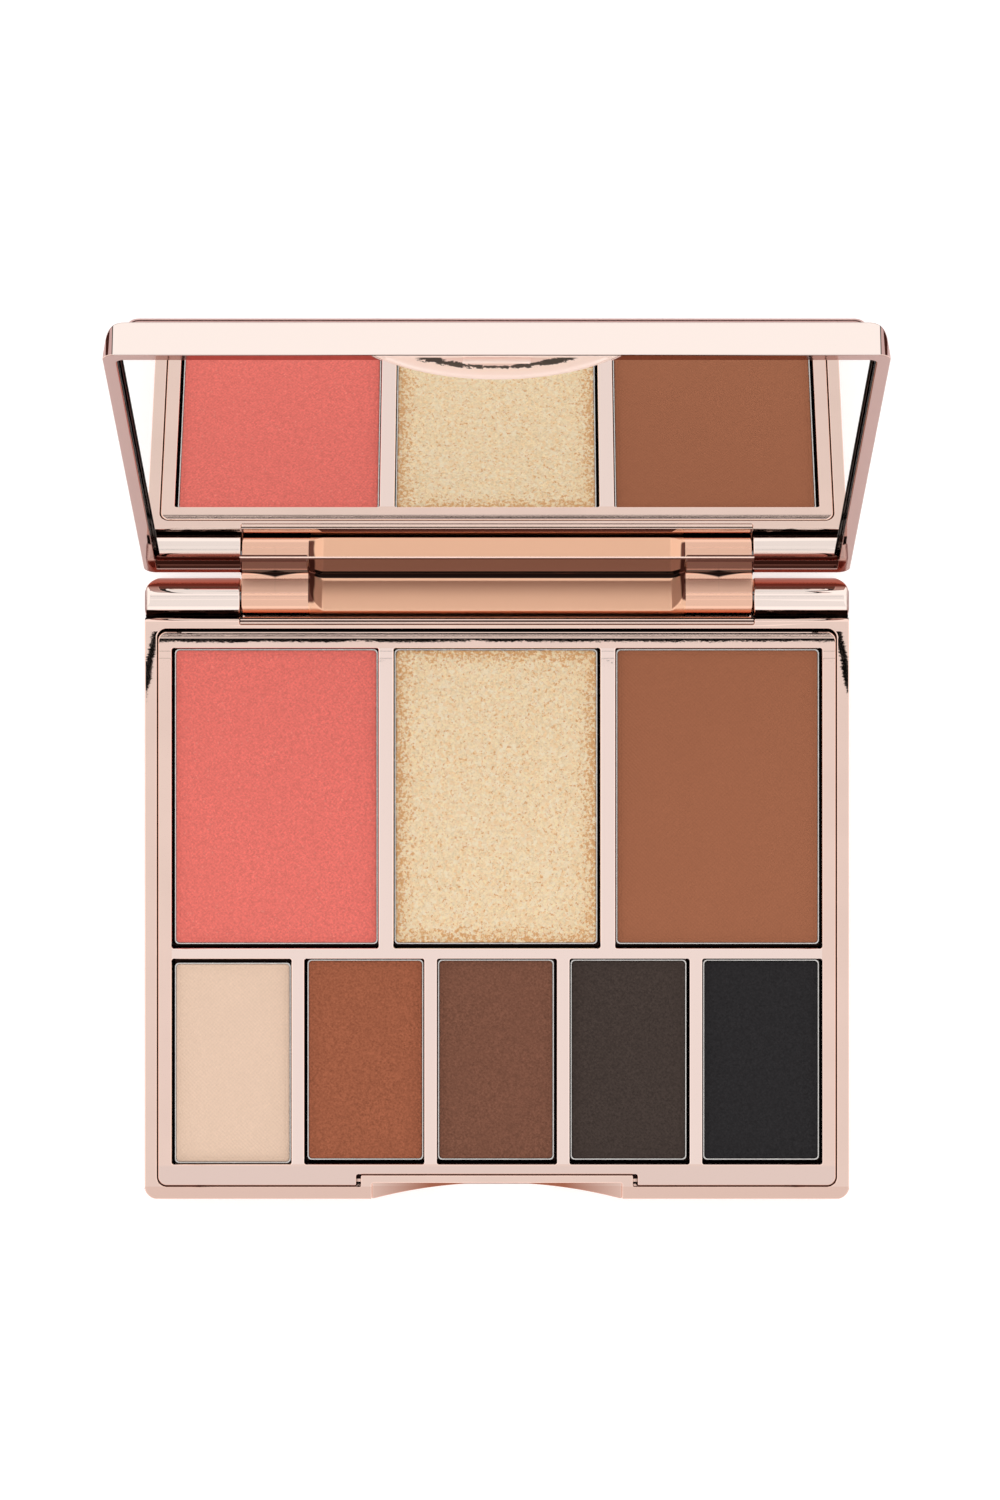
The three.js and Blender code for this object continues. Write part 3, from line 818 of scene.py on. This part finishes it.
def with_flakes(m, base, relief, near_edge):
    """Mica flakes, each with its own brightness, under orange-brown crumbs that gather along the edges."""
    tilt, bright, dark = cell_values(m, FLAKE_CELLS)
    base = m.mix(m.remap(bright, 0.45, 1, 0, 0.85), base, FLAKE_PALE)
    base = m.mix(m.remap(dark, 0.6, 1, 0, 0.5), base, FLAKE_DEEP)
    crumbs = m.noise(CRUMB_WAVES, 3, 0.8)
    level = m.math("SUBTRACT", m.math("ADD", crumbs, m.math("MULTIPLY", near_edge, 0.14)), 0.58)
    base = m.mix(m.remap(level, 0, 0.06, 0, 0.8), base, CRUMB_ORANGE)
    relief = m.bump(crumbs, 0.00025, below=relief)
    relief = m.bump(tilt, 0.00006, below=relief)
    m.set(Metallic=0.15, Roughness=0.5, Specular_IOR_Level=0.5)
    return base, relief


CASE_METAL = metallised("rose_gold_case", ROSE_GOLD, 0.018, painted_light=base_painted_light)
LID_METAL = metallised("rose_gold_lid", ROSE_GOLD, painted_light=lid_painted_light, dullness=lid_dullness)
TRAY_METAL = metallised("rose_gold_tray", shade(ROSE_GOLD, 1.02)[:3], 0.018, painted_light=tray_painted_light)
PLATE_METAL = metallised("rose_gold_plate", shade(ROSE_GOLD, 0.9)[:3], 0.16, painted_light=plate_painted_shade)
MOON_METAL = satin_dish("rose_gold_moon")
PAN_METAL = pressed_aluminium("pan_aluminium")
MIRROR_MATERIAL = mirror_glass("mirror_glass")
STEEL = steel("pin_steel")
FOAM = soft_pad("foam_tape", (0.03, 0.03, 0.03))
GLUE = soft_pad("pan_glue", (0.62, 0.58, 0.44))


# ---------------------------------------------------------------- base


def side_profile(z0, z1):
    """The case's cross-section in (x, z): sides that lean in slightly, then round over towards z1."""
    up = math.copysign(1, z1 - z0)
    foot = HALF_WIDTH - SIDE_DRAFT
    start = (foot, z1 - up * SIDE_ROUND)
    knee = (foot - 0.1 * SIDE_ROUND, z1)
    end = (foot - SIDE_ROUND, z1)
    first = tuple(a + (b - a) * 2 / 3 for a, b in zip(start, knee))
    second = tuple(a + (b - a) * 2 / 3 for a, b in zip(end, knee))
    right = [(HALF_WIDTH, z0), start] + bezier(start, first, second, end, 12)
    return right + [(-x, z) for x, z in reversed(right)]


def hinge_rod(name, x0, x1, r, steps=64):
    """A round rod on the hinge line."""
    return prism(name, arc(HINGE_Y, HINGE_Z, r, 0, 360 - 360 / steps, steps - 1), x0, x1, "x")


def base_top_profile():
    """Side view in (y, z) of the base's top: the rim, a shallow valley, then the round shoulder."""
    shoulder = arc(HINGE_Y, HINGE_Z, SHOULDER_R, 0, 148, 30)
    groove = [(44.62, 8.05), (44.32, 8.0), (44.2, 8.6)]
    ridge = bezier(groove[-1], (44.1, 9.2), (43.9, 9.34), (43.4, 9.39), 8) + [(WELL_REAR_Y - 0.3, RIM_Z)]
    rear = HINGE_Y + SHOULDER_R
    front = FRONT_Y - CLEAR
    return [(front, -CLEAR), (rear, -CLEAR)] + shoulder + groove + ridge + [(front, RIM_Z)]


def base_case():
    """The base shell, cut from a block."""
    rear_y = HINGE_Y + SHOULDER_R
    outline = rounded_rect(-HALF_WIDTH, HALF_WIDTH, FRONT_Y, rear_y, FRONT_CORNER_R, REAR_CORNER_R)
    top_z = HINGE_Z + SHOULDER_R
    case = prism("case_base", outline, 0, top_z)
    past_side = HALF_WIDTH + CLEAR
    combine(case, prism("sides", side_profile(top_z, 0), FRONT_Y - CLEAR, rear_y + CLEAR, "y"), "INTERSECT")
    combine(case, prism("top", base_top_profile(), -past_side, past_side, "x"), "INTERSECT")
    for side in (-1, 1):
        cut(case, shoulder_end(side))

    step_y = LEDGE_FRONT_Y + LEDGE_STEP
    low_z = LEDGE_Z - LEDGE_DROP
    channel = [
        (LEDGE_FRONT_Y, CLEAR_Z),
        (LEDGE_FRONT_Y, LEDGE_Z),
        (step_y, LEDGE_Z),
        (step_y, low_z),
        (LEDGE_REAR_Y, low_z),
        (LEDGE_REAR_Y, CHANNEL_FLOOR_Z),
        (rear_y + 2 * CLEAR, CHANNEL_FLOOR_Z),
        (rear_y + 2 * CLEAR, CLEAR_Z),
    ]
    cut(case, prism("channel", channel, -CHANNEL_HALF, CHANNEL_HALF, "x"))

    well_half = HALF_WIDTH - RIM_WIDTH
    well_plan = rounded_rect(-well_half, well_half, FRONT_Y + RIM_WIDTH, WELL_REAR_Y, WELL_CORNER_R)
    well = prism("well", well_plan, FLOOR_Z, CLEAR_Z)
    cut(well, prism("catch", rect(-CATCH_HALF, CATCH_HALF, FRONT_Y, CATCH_REAR_Y), 0, CLEAR_Z + CLEAR))
    cut(case, well)

    depth = SCOOP_REAR_Y - FRONT_Y
    scoop_r = (SCOOP_HALF**2 + depth**2) / (2 * depth)
    reach_deg = 24
    scoop = arc(0, SCOOP_REAR_Y - scoop_r, scoop_r, 90 - reach_deg, 90 + reach_deg, 72)
    cut(case, prism("scoop", scoop, -CLEAR, CLEAR_Z))
    shelf = rect(-NOTCH_HALF, NOTCH_HALF, FRONT_Y - CLEAR, CATCH_FRONT_Y)
    cut(case, prism("shelf", shelf, SHELF_Z, CLEAR_Z))
    cut(case, hinge_rod("bore_left", -past_side, -BARREL_HALF, PIN_BORE_R, 32))
    cut(case, hinge_rod("bore_right", BARREL_HALF, past_side, PIN_BORE_R, 32))
    soften(case, BASE_EDGE_R)
    return place(case, "base", ["base_shell"], CASE_METAL)


def shoulder_end(side):
    """The waste outside a shoulder's rounded outer end."""
    top = HINGE_Z + SHOULDER_R
    r = SHOULDER_END_R
    round_over = arc(HALF_WIDTH - r, top - r, r, 90, 0)
    past_side = HALF_WIDTH + CLEAR
    waste = [(HALF_WIDTH - r, top + CLEAR)] + round_over + [(past_side, top - r), (past_side, top + CLEAR)]
    outline = [(side * x, z) for x, z in waste]
    return prism("shoulder_end", outline, HINGE_Y - SHOULDER_R, HINGE_Y + 5, "y")


# ---------------------------------------------------------------- tray, pans and powders


def mm_box(node):
    """A CAD node's box as x0, x1, y0, y1, z0, z1 in millimetres."""
    low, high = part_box(node)
    return tuple(v / MM for pair in zip(low, high) for v in pair)


def pocket_row(count, front_y, rear_y, divider):
    """Equal pockets across the grid, as (x0, x1, y0, y1)."""
    width = (2 * GRID_HALF - (count - 1) * divider) / count
    starts = [-GRID_HALF + i * (width + divider) for i in range(count)]
    return [(x, x + width, front_y, rear_y) for x in starts]


POCKETS = pocket_row(len(LARGE_POWDERS), ROW_DIVIDER_Y[1], POCKET_ROWS_Y[1], LARGE_DIVIDER)
POCKETS += pocket_row(len(SMALL_POWDERS), POCKET_ROWS_Y[0], ROW_DIVIDER_Y[0], SMALL_DIVIDER)


def rail_crown(steps=12):
    """Side view in (y, z) of the rear rail, from its rear edge: a fall, a flat crest and a shallow dip."""
    rear = TRAY_REAR_Y + 0.1
    crest_rear = TRAY_REAR_Y - 1.15
    crest_front = POCKET_ROWS_Y[1] + 0.75
    dip = 2.4
    points = []
    for i in range(steps + 1):
        t = 1 - i / steps
        points.append((crest_rear + (rear - crest_rear) * t, TRAY_TOP_Z - 0.16 * t * t))
    for i in range(steps + 1):
        t = i / steps
        points.append((crest_front - dip * t, TRAY_TOP_Z - 0.05 * math.sin(math.pi * t) ** 2))
    return points


def pan_tray():
    """The insert with its eight pockets and the cut-out round the catch tab."""
    outline = rounded_rect(-TRAY_HALF, TRAY_HALF, TRAY_FRONT_Y, TRAY_REAR_Y, TRAY_CORNER_R)
    tray = prism("case_tray", outline, TRAY_BOTTOM_Z, TRAY_TOP_Z + 0.1)
    front = TRAY_FRONT_Y - CLEAR
    rear = TRAY_REAR_Y + CLEAR
    top = [(front, 0), (rear, 0), (rear, TRAY_TOP_Z - 0.3)] + rail_crown() + [(front, TRAY_TOP_Z)]
    combine(tray, prism("crown", top, -TRAY_HALF - CLEAR, TRAY_HALF + CLEAR, "x"), "INTERSECT")
    slot_half = CATCH_HALF + TRAY_SLOT
    slot = rect(-slot_half, slot_half, front, CATCH_REAR_Y + TRAY_SEAM)
    cut(tray, prism("slot", slot, 0, CLEAR_Z))
    for x0, x1, y0, y1 in POCKETS:
        pocket = rounded_rect(x0, x1, y0, y1, POCKET_CORNER_R, steps=4)
        cut(tray, prism("pocket", pocket, POCKET_FLOOR_Z, CLEAR_Z))
    soften(tray, TRAY_EDGE_R)
    return place(tray, "base", ["pan_tray"], TRAY_METAL)


def pan(number, powder):
    """A thin drawn pan that fills its CAD node's box."""
    node = f"pan_{number}_{powder['name']}"
    x0, x1, y0, y1, z0, z1 = mm_box(node)
    w = PAN_WALL
    cup = prism("cup_" + powder["name"], rounded_rect(x0, x1, y0, y1, PAN_CORNER_R), z0, z1)
    inside = rounded_rect(x0 + w, x1 - w, y0 + w, y1 - w, PAN_CORNER_R - w / 2)
    cut(cup, prism("inside", inside, z0 + w, z1 + CLEAR))
    soften(cup, PAN_WALL / 3)
    return place(cup, "base", [node], PAN_METAL)


CAKE_STEP = 0.45  # between points round a cake
CRUMBLE_WAVES = 2.1  # per millimetre round a cake's edge
CRUMBLE_SHIFT = 7.3  # keeps the edges of the cakes unlike each other
RING_COUNTS = {}


def powder_cake(number, powder):
    """A pressed cake that fills its pan, with a crumbled edge and a shallow line just inside it."""
    suffix = f"_{number}_{powder['name']}"
    node = "powder" + suffix
    x0, x1, y0, y1, _, _ = mm_box("pan" + suffix)
    z0, z1 = mm_box(node)[4:]
    x0, x1, y0, y1 = x0 + PAN_WALL, x1 - PAN_WALL, y0 + PAN_WALL, y1 - PAN_WALL
    rough = 0.09 if powder["kind"] == "glitter" else 0.03
    line_z = z1 - 0.035
    edge = [(0, z0), (0, z1 - 0.16), (0.04, z1 - 0.05), (0.12, z1), (0.42, z1)]
    edge += [(0.52, line_z), (0.62, line_z), (0.75, z1), (1.3, z1)]
    rings = [cake_ring(x0, x1, y0, y1, inset, z, rough, number) for inset, z in edge]
    cake = stack("cake_" + powder["name"], rings)
    centre = ((x0 + x1) / 2, (y0 + y1) / 2)
    half_size = ((x1 - x0) / 2, (y1 - y0) / 2)
    material = pressed_powder(powder, centre, half_size)
    return place(cake, "base", [node], material)


def cake_ring(x0, x1, y0, y1, inset, z, rough, seed):
    """One closed ring of the cake, evenly spaced, and roughened near the edge by small noise.

    Every ring of one cake has as many points as its first, so that they can be joined.
    """
    r = max(PAN_CORNER_R - PAN_WALL / 2 - inset, 0.1)
    corners = rounded_rect(x0 + inset, x1 - inset, y0 + inset, y1 - inset, r, steps=6)
    points = []
    for (ax, ay), (bx, by) in zip(corners, corners[1:] + corners[:1]):
        steps = max(1, round(math.hypot(bx - ax, by - ay) / CAKE_STEP))
        for i in range(steps):
            x = ax + (bx - ax) * i / steps
            y = ay + (by - ay) * i / steps
            points.append((x, y))
    if len(points) != RING_COUNTS.setdefault(seed, len(points)):
        points = resample(points, RING_COUNTS[seed])
    ring = []
    for x, y in points:
        spot = Vector((x * CRUMBLE_WAVES, y * CRUMBLE_WAVES, seed * CRUMBLE_SHIFT))
        wobble = noise.noise(spot) * rough if inset < 1 else 0
        towards = Vector(((x0 + x1) / 2 - x, (y0 + y1) / 2 - y)).normalized()
        push = max(wobble, -inset) if inset else abs(wobble) * 0.5
        ring.append((x + towards.x * push, y + towards.y * push, z - abs(wobble) * 0.4 * (inset > 0)))
    return ring


def resample(points, count):
    """The same closed outline with another number of points, evenly spread by index."""
    n = len(points)
    result = []
    for i in range(count):
        t = i * n / count
        a = points[int(t) % n]
        b = points[(int(t) + 1) % n]
        s = t - int(t)
        result.append((a[0] + (b[0] - a[0]) * s, a[1] + (b[1] - a[1]) * s))
    return result


# ---------------------------------------------------------------- lid


def lug_profile():
    """Side view in (y, z) of the barrel and its web to the lid, with a fillet in the inner corner."""
    face_y = HINGE_Y - BARREL_R
    fillet = 0.9
    root_y = LID_REAR_Y - 3
    root_z = LID_TOP_Z - 0.5
    inner = arc(face_y - fillet, LID_BOTTOM_Z - fillet, fillet, 90, 0, 8)
    barrel = arc(HINGE_Y, HINGE_Z, BARREL_R, 180, 382, 44)
    first = (HINGE_Y + 0.9, HINGE_Z + 4.4)
    second = (LID_REAR_Y + 1.6, HINGE_Z + 7.7)
    back = bezier(barrel[-1], first, second, (LID_REAR_Y - 1.2, root_z), 12)
    return inner + barrel + back + [(root_y, root_z), (root_y, LID_BOTTOM_Z)]


def cut_barrel_hollow(cover):
    """Cuts the hollow between the lugs: its ends lean, and its floor curves up to the mirror's strip."""
    r = HOLLOW_FILLET
    floor_y, roof_z = HOLLOW_FLOOR_Y, HOLLOW_ROOF_Z
    corner = arc(floor_y - r, roof_z - r, r, 0, 90)
    profile = [(HOLLOW_FRONT_Y, 0), (floor_y, 0)] + corner + [(HOLLOW_FRONT_Y, roof_z)]
    hollow = prism("hollow", profile, -LUG_INNER_X - CLEAR, LUG_INNER_X + CLEAR, "x")
    lean = (LUG_INNER_X - HOLLOW_FLOOR_HALF) / (floor_y - HOLLOW_STEP_Y)
    past_floor = 0.4
    narrow = HOLLOW_FLOOR_HALF - past_floor * lean
    plan = [
        (LUG_INNER_X, HOLLOW_FRONT_Y - CLEAR),
        (LUG_INNER_X, HOLLOW_STEP_Y),
        (narrow, floor_y + past_floor),
    ]
    plan += [(-x, y) for x, y in reversed(plan)]
    combine(hollow, prism("hollow_plan", plan, -CLEAR, roof_z + CLEAR), "INTERSECT")
    cut(cover, hollow)


def lid_cover():
    """The lid shell with its lugs, cut for the mirror, the corner strips, the two plates and the pins."""
    outline = rounded_rect(-HALF_WIDTH, HALF_WIDTH, LID_FRONT_Y, LID_REAR_Y, FRONT_CORNER_R)
    cover = prism("case_lid", outline, LID_BOTTOM_Z, LID_TOP_Z)
    sides = side_profile(LID_BOTTOM_Z, LID_TOP_Z)
    combine(cover, prism("sides", sides, LID_FRONT_Y - CLEAR, LID_REAR_Y + CLEAR, "y"), "INTERSECT")
    combine(cover, prism("lugs", lug_profile(), -BARREL_HALF, BARREL_HALF, "x"), "UNION")

    well_half = HALF_WIDTH - LID_RIM
    well_front = LID_FRONT_Y + LID_RIM
    well = rounded_rect(-well_half, well_half, well_front, MIRROR_REAR_Y + MIRROR_END_GAP, 1)
    cut(cover, prism("mirror_well", well, 0, MIRROR_SEAT_Z))
    strip_rear = LID_REAR_Y - HINGE_RIM
    for x0, x1 in ((-well_half, -BARREL_HALF), (BARREL_HALF, well_half)):
        cut(cover, prism("strip", rect(x0, x1, MIRROR_REAR_Y, strip_rear), LID_BOTTOM_Z - CLEAR, STRIP_Z))
    cut_barrel_hollow(cover)
    gap = PLATE_GAP
    half = PLATE_HALF + gap
    plate_well = rounded_rect(-half, half, PLATE_FRONT_Y - gap, PLATE_REAR_Y + gap, PLATE_CORNER_R)
    cut(cover, prism("plate_well", plate_well, PLATE_SEAT_Z, LID_TOP_Z + CLEAR))
    cut(cover, prism("moon_seat", moon_ring(-0.12, 36, 2), 0, MOON_SEAT_Z))
    cut(cover, hinge_rod("bore_left", -BARREL_HALF - CLEAR, -PIN_REACH_X, PIN_BORE_R, 32))
    cut(cover, hinge_rod("bore_right", PIN_REACH_X, BARREL_HALF + CLEAR, PIN_BORE_R, 32))
    soften(cover, LID_EDGE_R)
    return place(cover, "lid", ["lid_shell"], LID_METAL)


def lid_mirror():
    """The mirror, with its polished bevelled edge."""
    half = HALF_WIDTH - LID_RIM - MIRROR_SIDE_GAP
    front = LID_FRONT_Y + LID_RIM + MIRROR_END_GAP
    outline = rounded_rect(-half, half, front, MIRROR_REAR_Y, 1)
    glass = prism("lid_mirror", outline, MIRROR_FACE_Z, MIRROR_BACK_Z)
    soften(glass, 0.35, 1)
    return place(glass, "lid", ["mirror"], MIRROR_MATERIAL)


def outer_plate():
    """The raised cover plate on the outside of the lid."""
    outline = rounded_rect(-PLATE_HALF, PLATE_HALF, PLATE_FRONT_Y, PLATE_REAR_Y, PLATE_CORNER_R)
    plate = bevel_top(prism("lid_plate", outline, PLATE_BOTTOM_Z, PLATE_TOP_Z), PLATE_TOP_Z, PLATE_ROUND)
    return place(plate, "lid", ["top_plate"], PLATE_METAL)


def moon_ring(inset, steps=72, chord_steps=24):
    """The half-moon's outline pulled in by inset: its arc, then its chord."""
    centre_y = MOON_APEX_Y - MOON_R
    r = MOON_R - inset
    chord_y = MOON_CHORD_Y + inset
    end = math.degrees(math.acos((chord_y - centre_y) / r))
    curve = arc(0, centre_y, r, 90 - end, 90 + end, steps)
    half = math.sqrt(r**2 - (chord_y - centre_y) ** 2)
    chord = [(-half + 2 * half * i / chord_steps, chord_y) for i in range(1, chord_steps)]
    return curve + chord


def catch_plate():
    """The half-moon finger plate: a thin lip round a smooth dish, with the snap nib under its chord."""
    lip = [(0, MOON_BACK_Z), (0, 9.86), (0.06, 9.76), (0.18, MOON_FACE_Z), (0.62, MOON_FACE_Z)]
    dish = [(0.74, 9.74), (0.82, 9.84), (1, 9.94), (1.5, 10), (2.2, 9.98), (3, 9.93), (3.9, 9.9)]
    rings = [[(x, y, z) for x, y in moon_ring(inset)] for inset, z in lip + dish]
    plate = stack("catch_moon", rings)
    nib = soften(prism("nib", rect(-NIB_HALF, NIB_HALF, *NIB_Y), *NIB_Z), 0.2)
    combine(plate, nib, "UNION")
    return place(plate, "lid", ["catch_plate"], MOON_METAL)


# ---------------------------------------------------------------- assembly

base_case()
pan_tray()
for index, pressed in enumerate(LARGE_POWDERS + SMALL_POWDERS, 1):
    pan(index, pressed)
    powder_cake(index, pressed)
lid_cover()
lid_mirror()
outer_plate()
catch_plate()

# Hidden pieces keep their CAD shape
KEPT = {"weight_plate": STEEL, "hinge_pin_left": STEEL, "hinge_pin_right": STEEL}
KEPT.update({"mirror_tape": FOAM, "plate_tape": FOAM})
KEPT.update({f"pan_glue_{i}": GLUE for i in range(1, len(POCKETS) + 1)})
for node_name, material in KEPT.items():
    node = frame["nodes"][node_name]
    node.data.materials.clear()
    node.data.materials.append(material)


# ---------------------------------------------------------------- floor, light and camera


def emitter(name, colour, strength, glow=(1, 1, 1, 1)):
    """A material with some glow of its own, for the floor, the cards and the low wall."""
    m = Nodes(name)
    m.set(Roughness=0.95, Specular_IOR_Level=0.0, Emission_Color=glow, Emission_Strength=strength)
    m.into("Base Color", m.mix(m.noise(3, 2), shade(colour, 0.98), shade(colour, 1.0)))
    return m.material


def floor():
    """A wide white floor just under the base."""
    mesh = bmesh.new()
    half = 4
    mesh.faces.new([mesh.verts.new((x, y, -0.0002)) for x, y in rect(-half, half, -half, half)])
    obj = as_object("floor", mesh)
    obj.data.materials.append(emitter("floor_white", (0.8, 0.8, 0.8), 0.42))


def card(name, centre, size, material, tilt_deg=0):
    """A flat studio card that the camera doesn't see. The size is its width and its depth."""
    mesh = bmesh.new()
    w, h = size[0] / 2, size[1] / 2
    mesh.faces.new([mesh.verts.new((x, y, 0)) for x, y in rect(-w, w, -h, h)])
    obj = as_object(name, mesh)
    turn = Matrix.Rotation(math.radians(tilt_deg), 4, "X")
    obj.data.transform(Matrix.Translation(Vector(centre)) @ turn)
    obj.data.materials.append(material)
    obj.visible_camera = False


def skirt(name, radius, height, material, steps=24):
    """A low dark wall behind the set that only polished metal sees: it darkens edges turned to the rear."""
    mesh = bmesh.new()
    ring = arc(0, 0, radius, 25, 155, steps)
    low = [mesh.verts.new((x, y, 0)) for x, y in ring]
    high = [mesh.verts.new((x, y, height)) for x, y in ring]
    for i in range(steps):
        mesh.faces.new((low[i], low[i + 1], high[i + 1], high[i]))
    obj = as_object(name, mesh)
    obj.data.materials.append(material)
    obj.visible_camera = False
    obj.visible_diffuse = False
    obj.visible_shadow = False


def world(strength):
    """A plain soft sky."""
    scene = bpy.context.scene
    scene.world = bpy.data.worlds.new("studio")
    scene.world.use_nodes = True
    background = scene.world.node_tree.nodes["Background"]
    background.inputs["Color"].default_value = (1, 0.995, 0.99, 1)
    background.inputs["Strength"].default_value = strength


def camera():
    """Looks straight down on the base, centred a little towards the open lid."""
    data = bpy.data.cameras.new("camera")
    data.lens = 122.3
    data.sensor_width = 36
    data.clip_start = 0.01
    data.clip_end = 20
    obj = bpy.data.objects.new("camera", data)
    bpy.context.scene.collection.objects.link(obj)
    centre = (0.0005, 0.0225)
    height_above_rim = 0.831
    obj.location = (*centre, RIM_Z * MM + height_above_rim)
    bpy.context.scene.camera = obj


bpy.context.scene.view_settings.view_transform = "Standard"
floor()
world(1.05)
camera()
GREY = emitter("card_grey", (0.0, 0.0, 0.0), 0.86)
BLACK = emitter("card_black", (0.004, 0.004, 0.004), 0.0)
DUSK = emitter("card_dusk", (0.0, 0.0, 0.0), 0.1, glow=(1, 0.4, 0.3, 1))
card("ceiling_card", (0, 0.02, 1.3), (0.9, 0.62), GREY)
card("front_card", (0, -0.66, 0.91), (1.2, 0.86), GREY, 35)
card("slot_card", (0, 0.069, 1.2), (1.2, 0.014), BLACK)
skirt("skirt", 0.55, 0.2, DUSK)
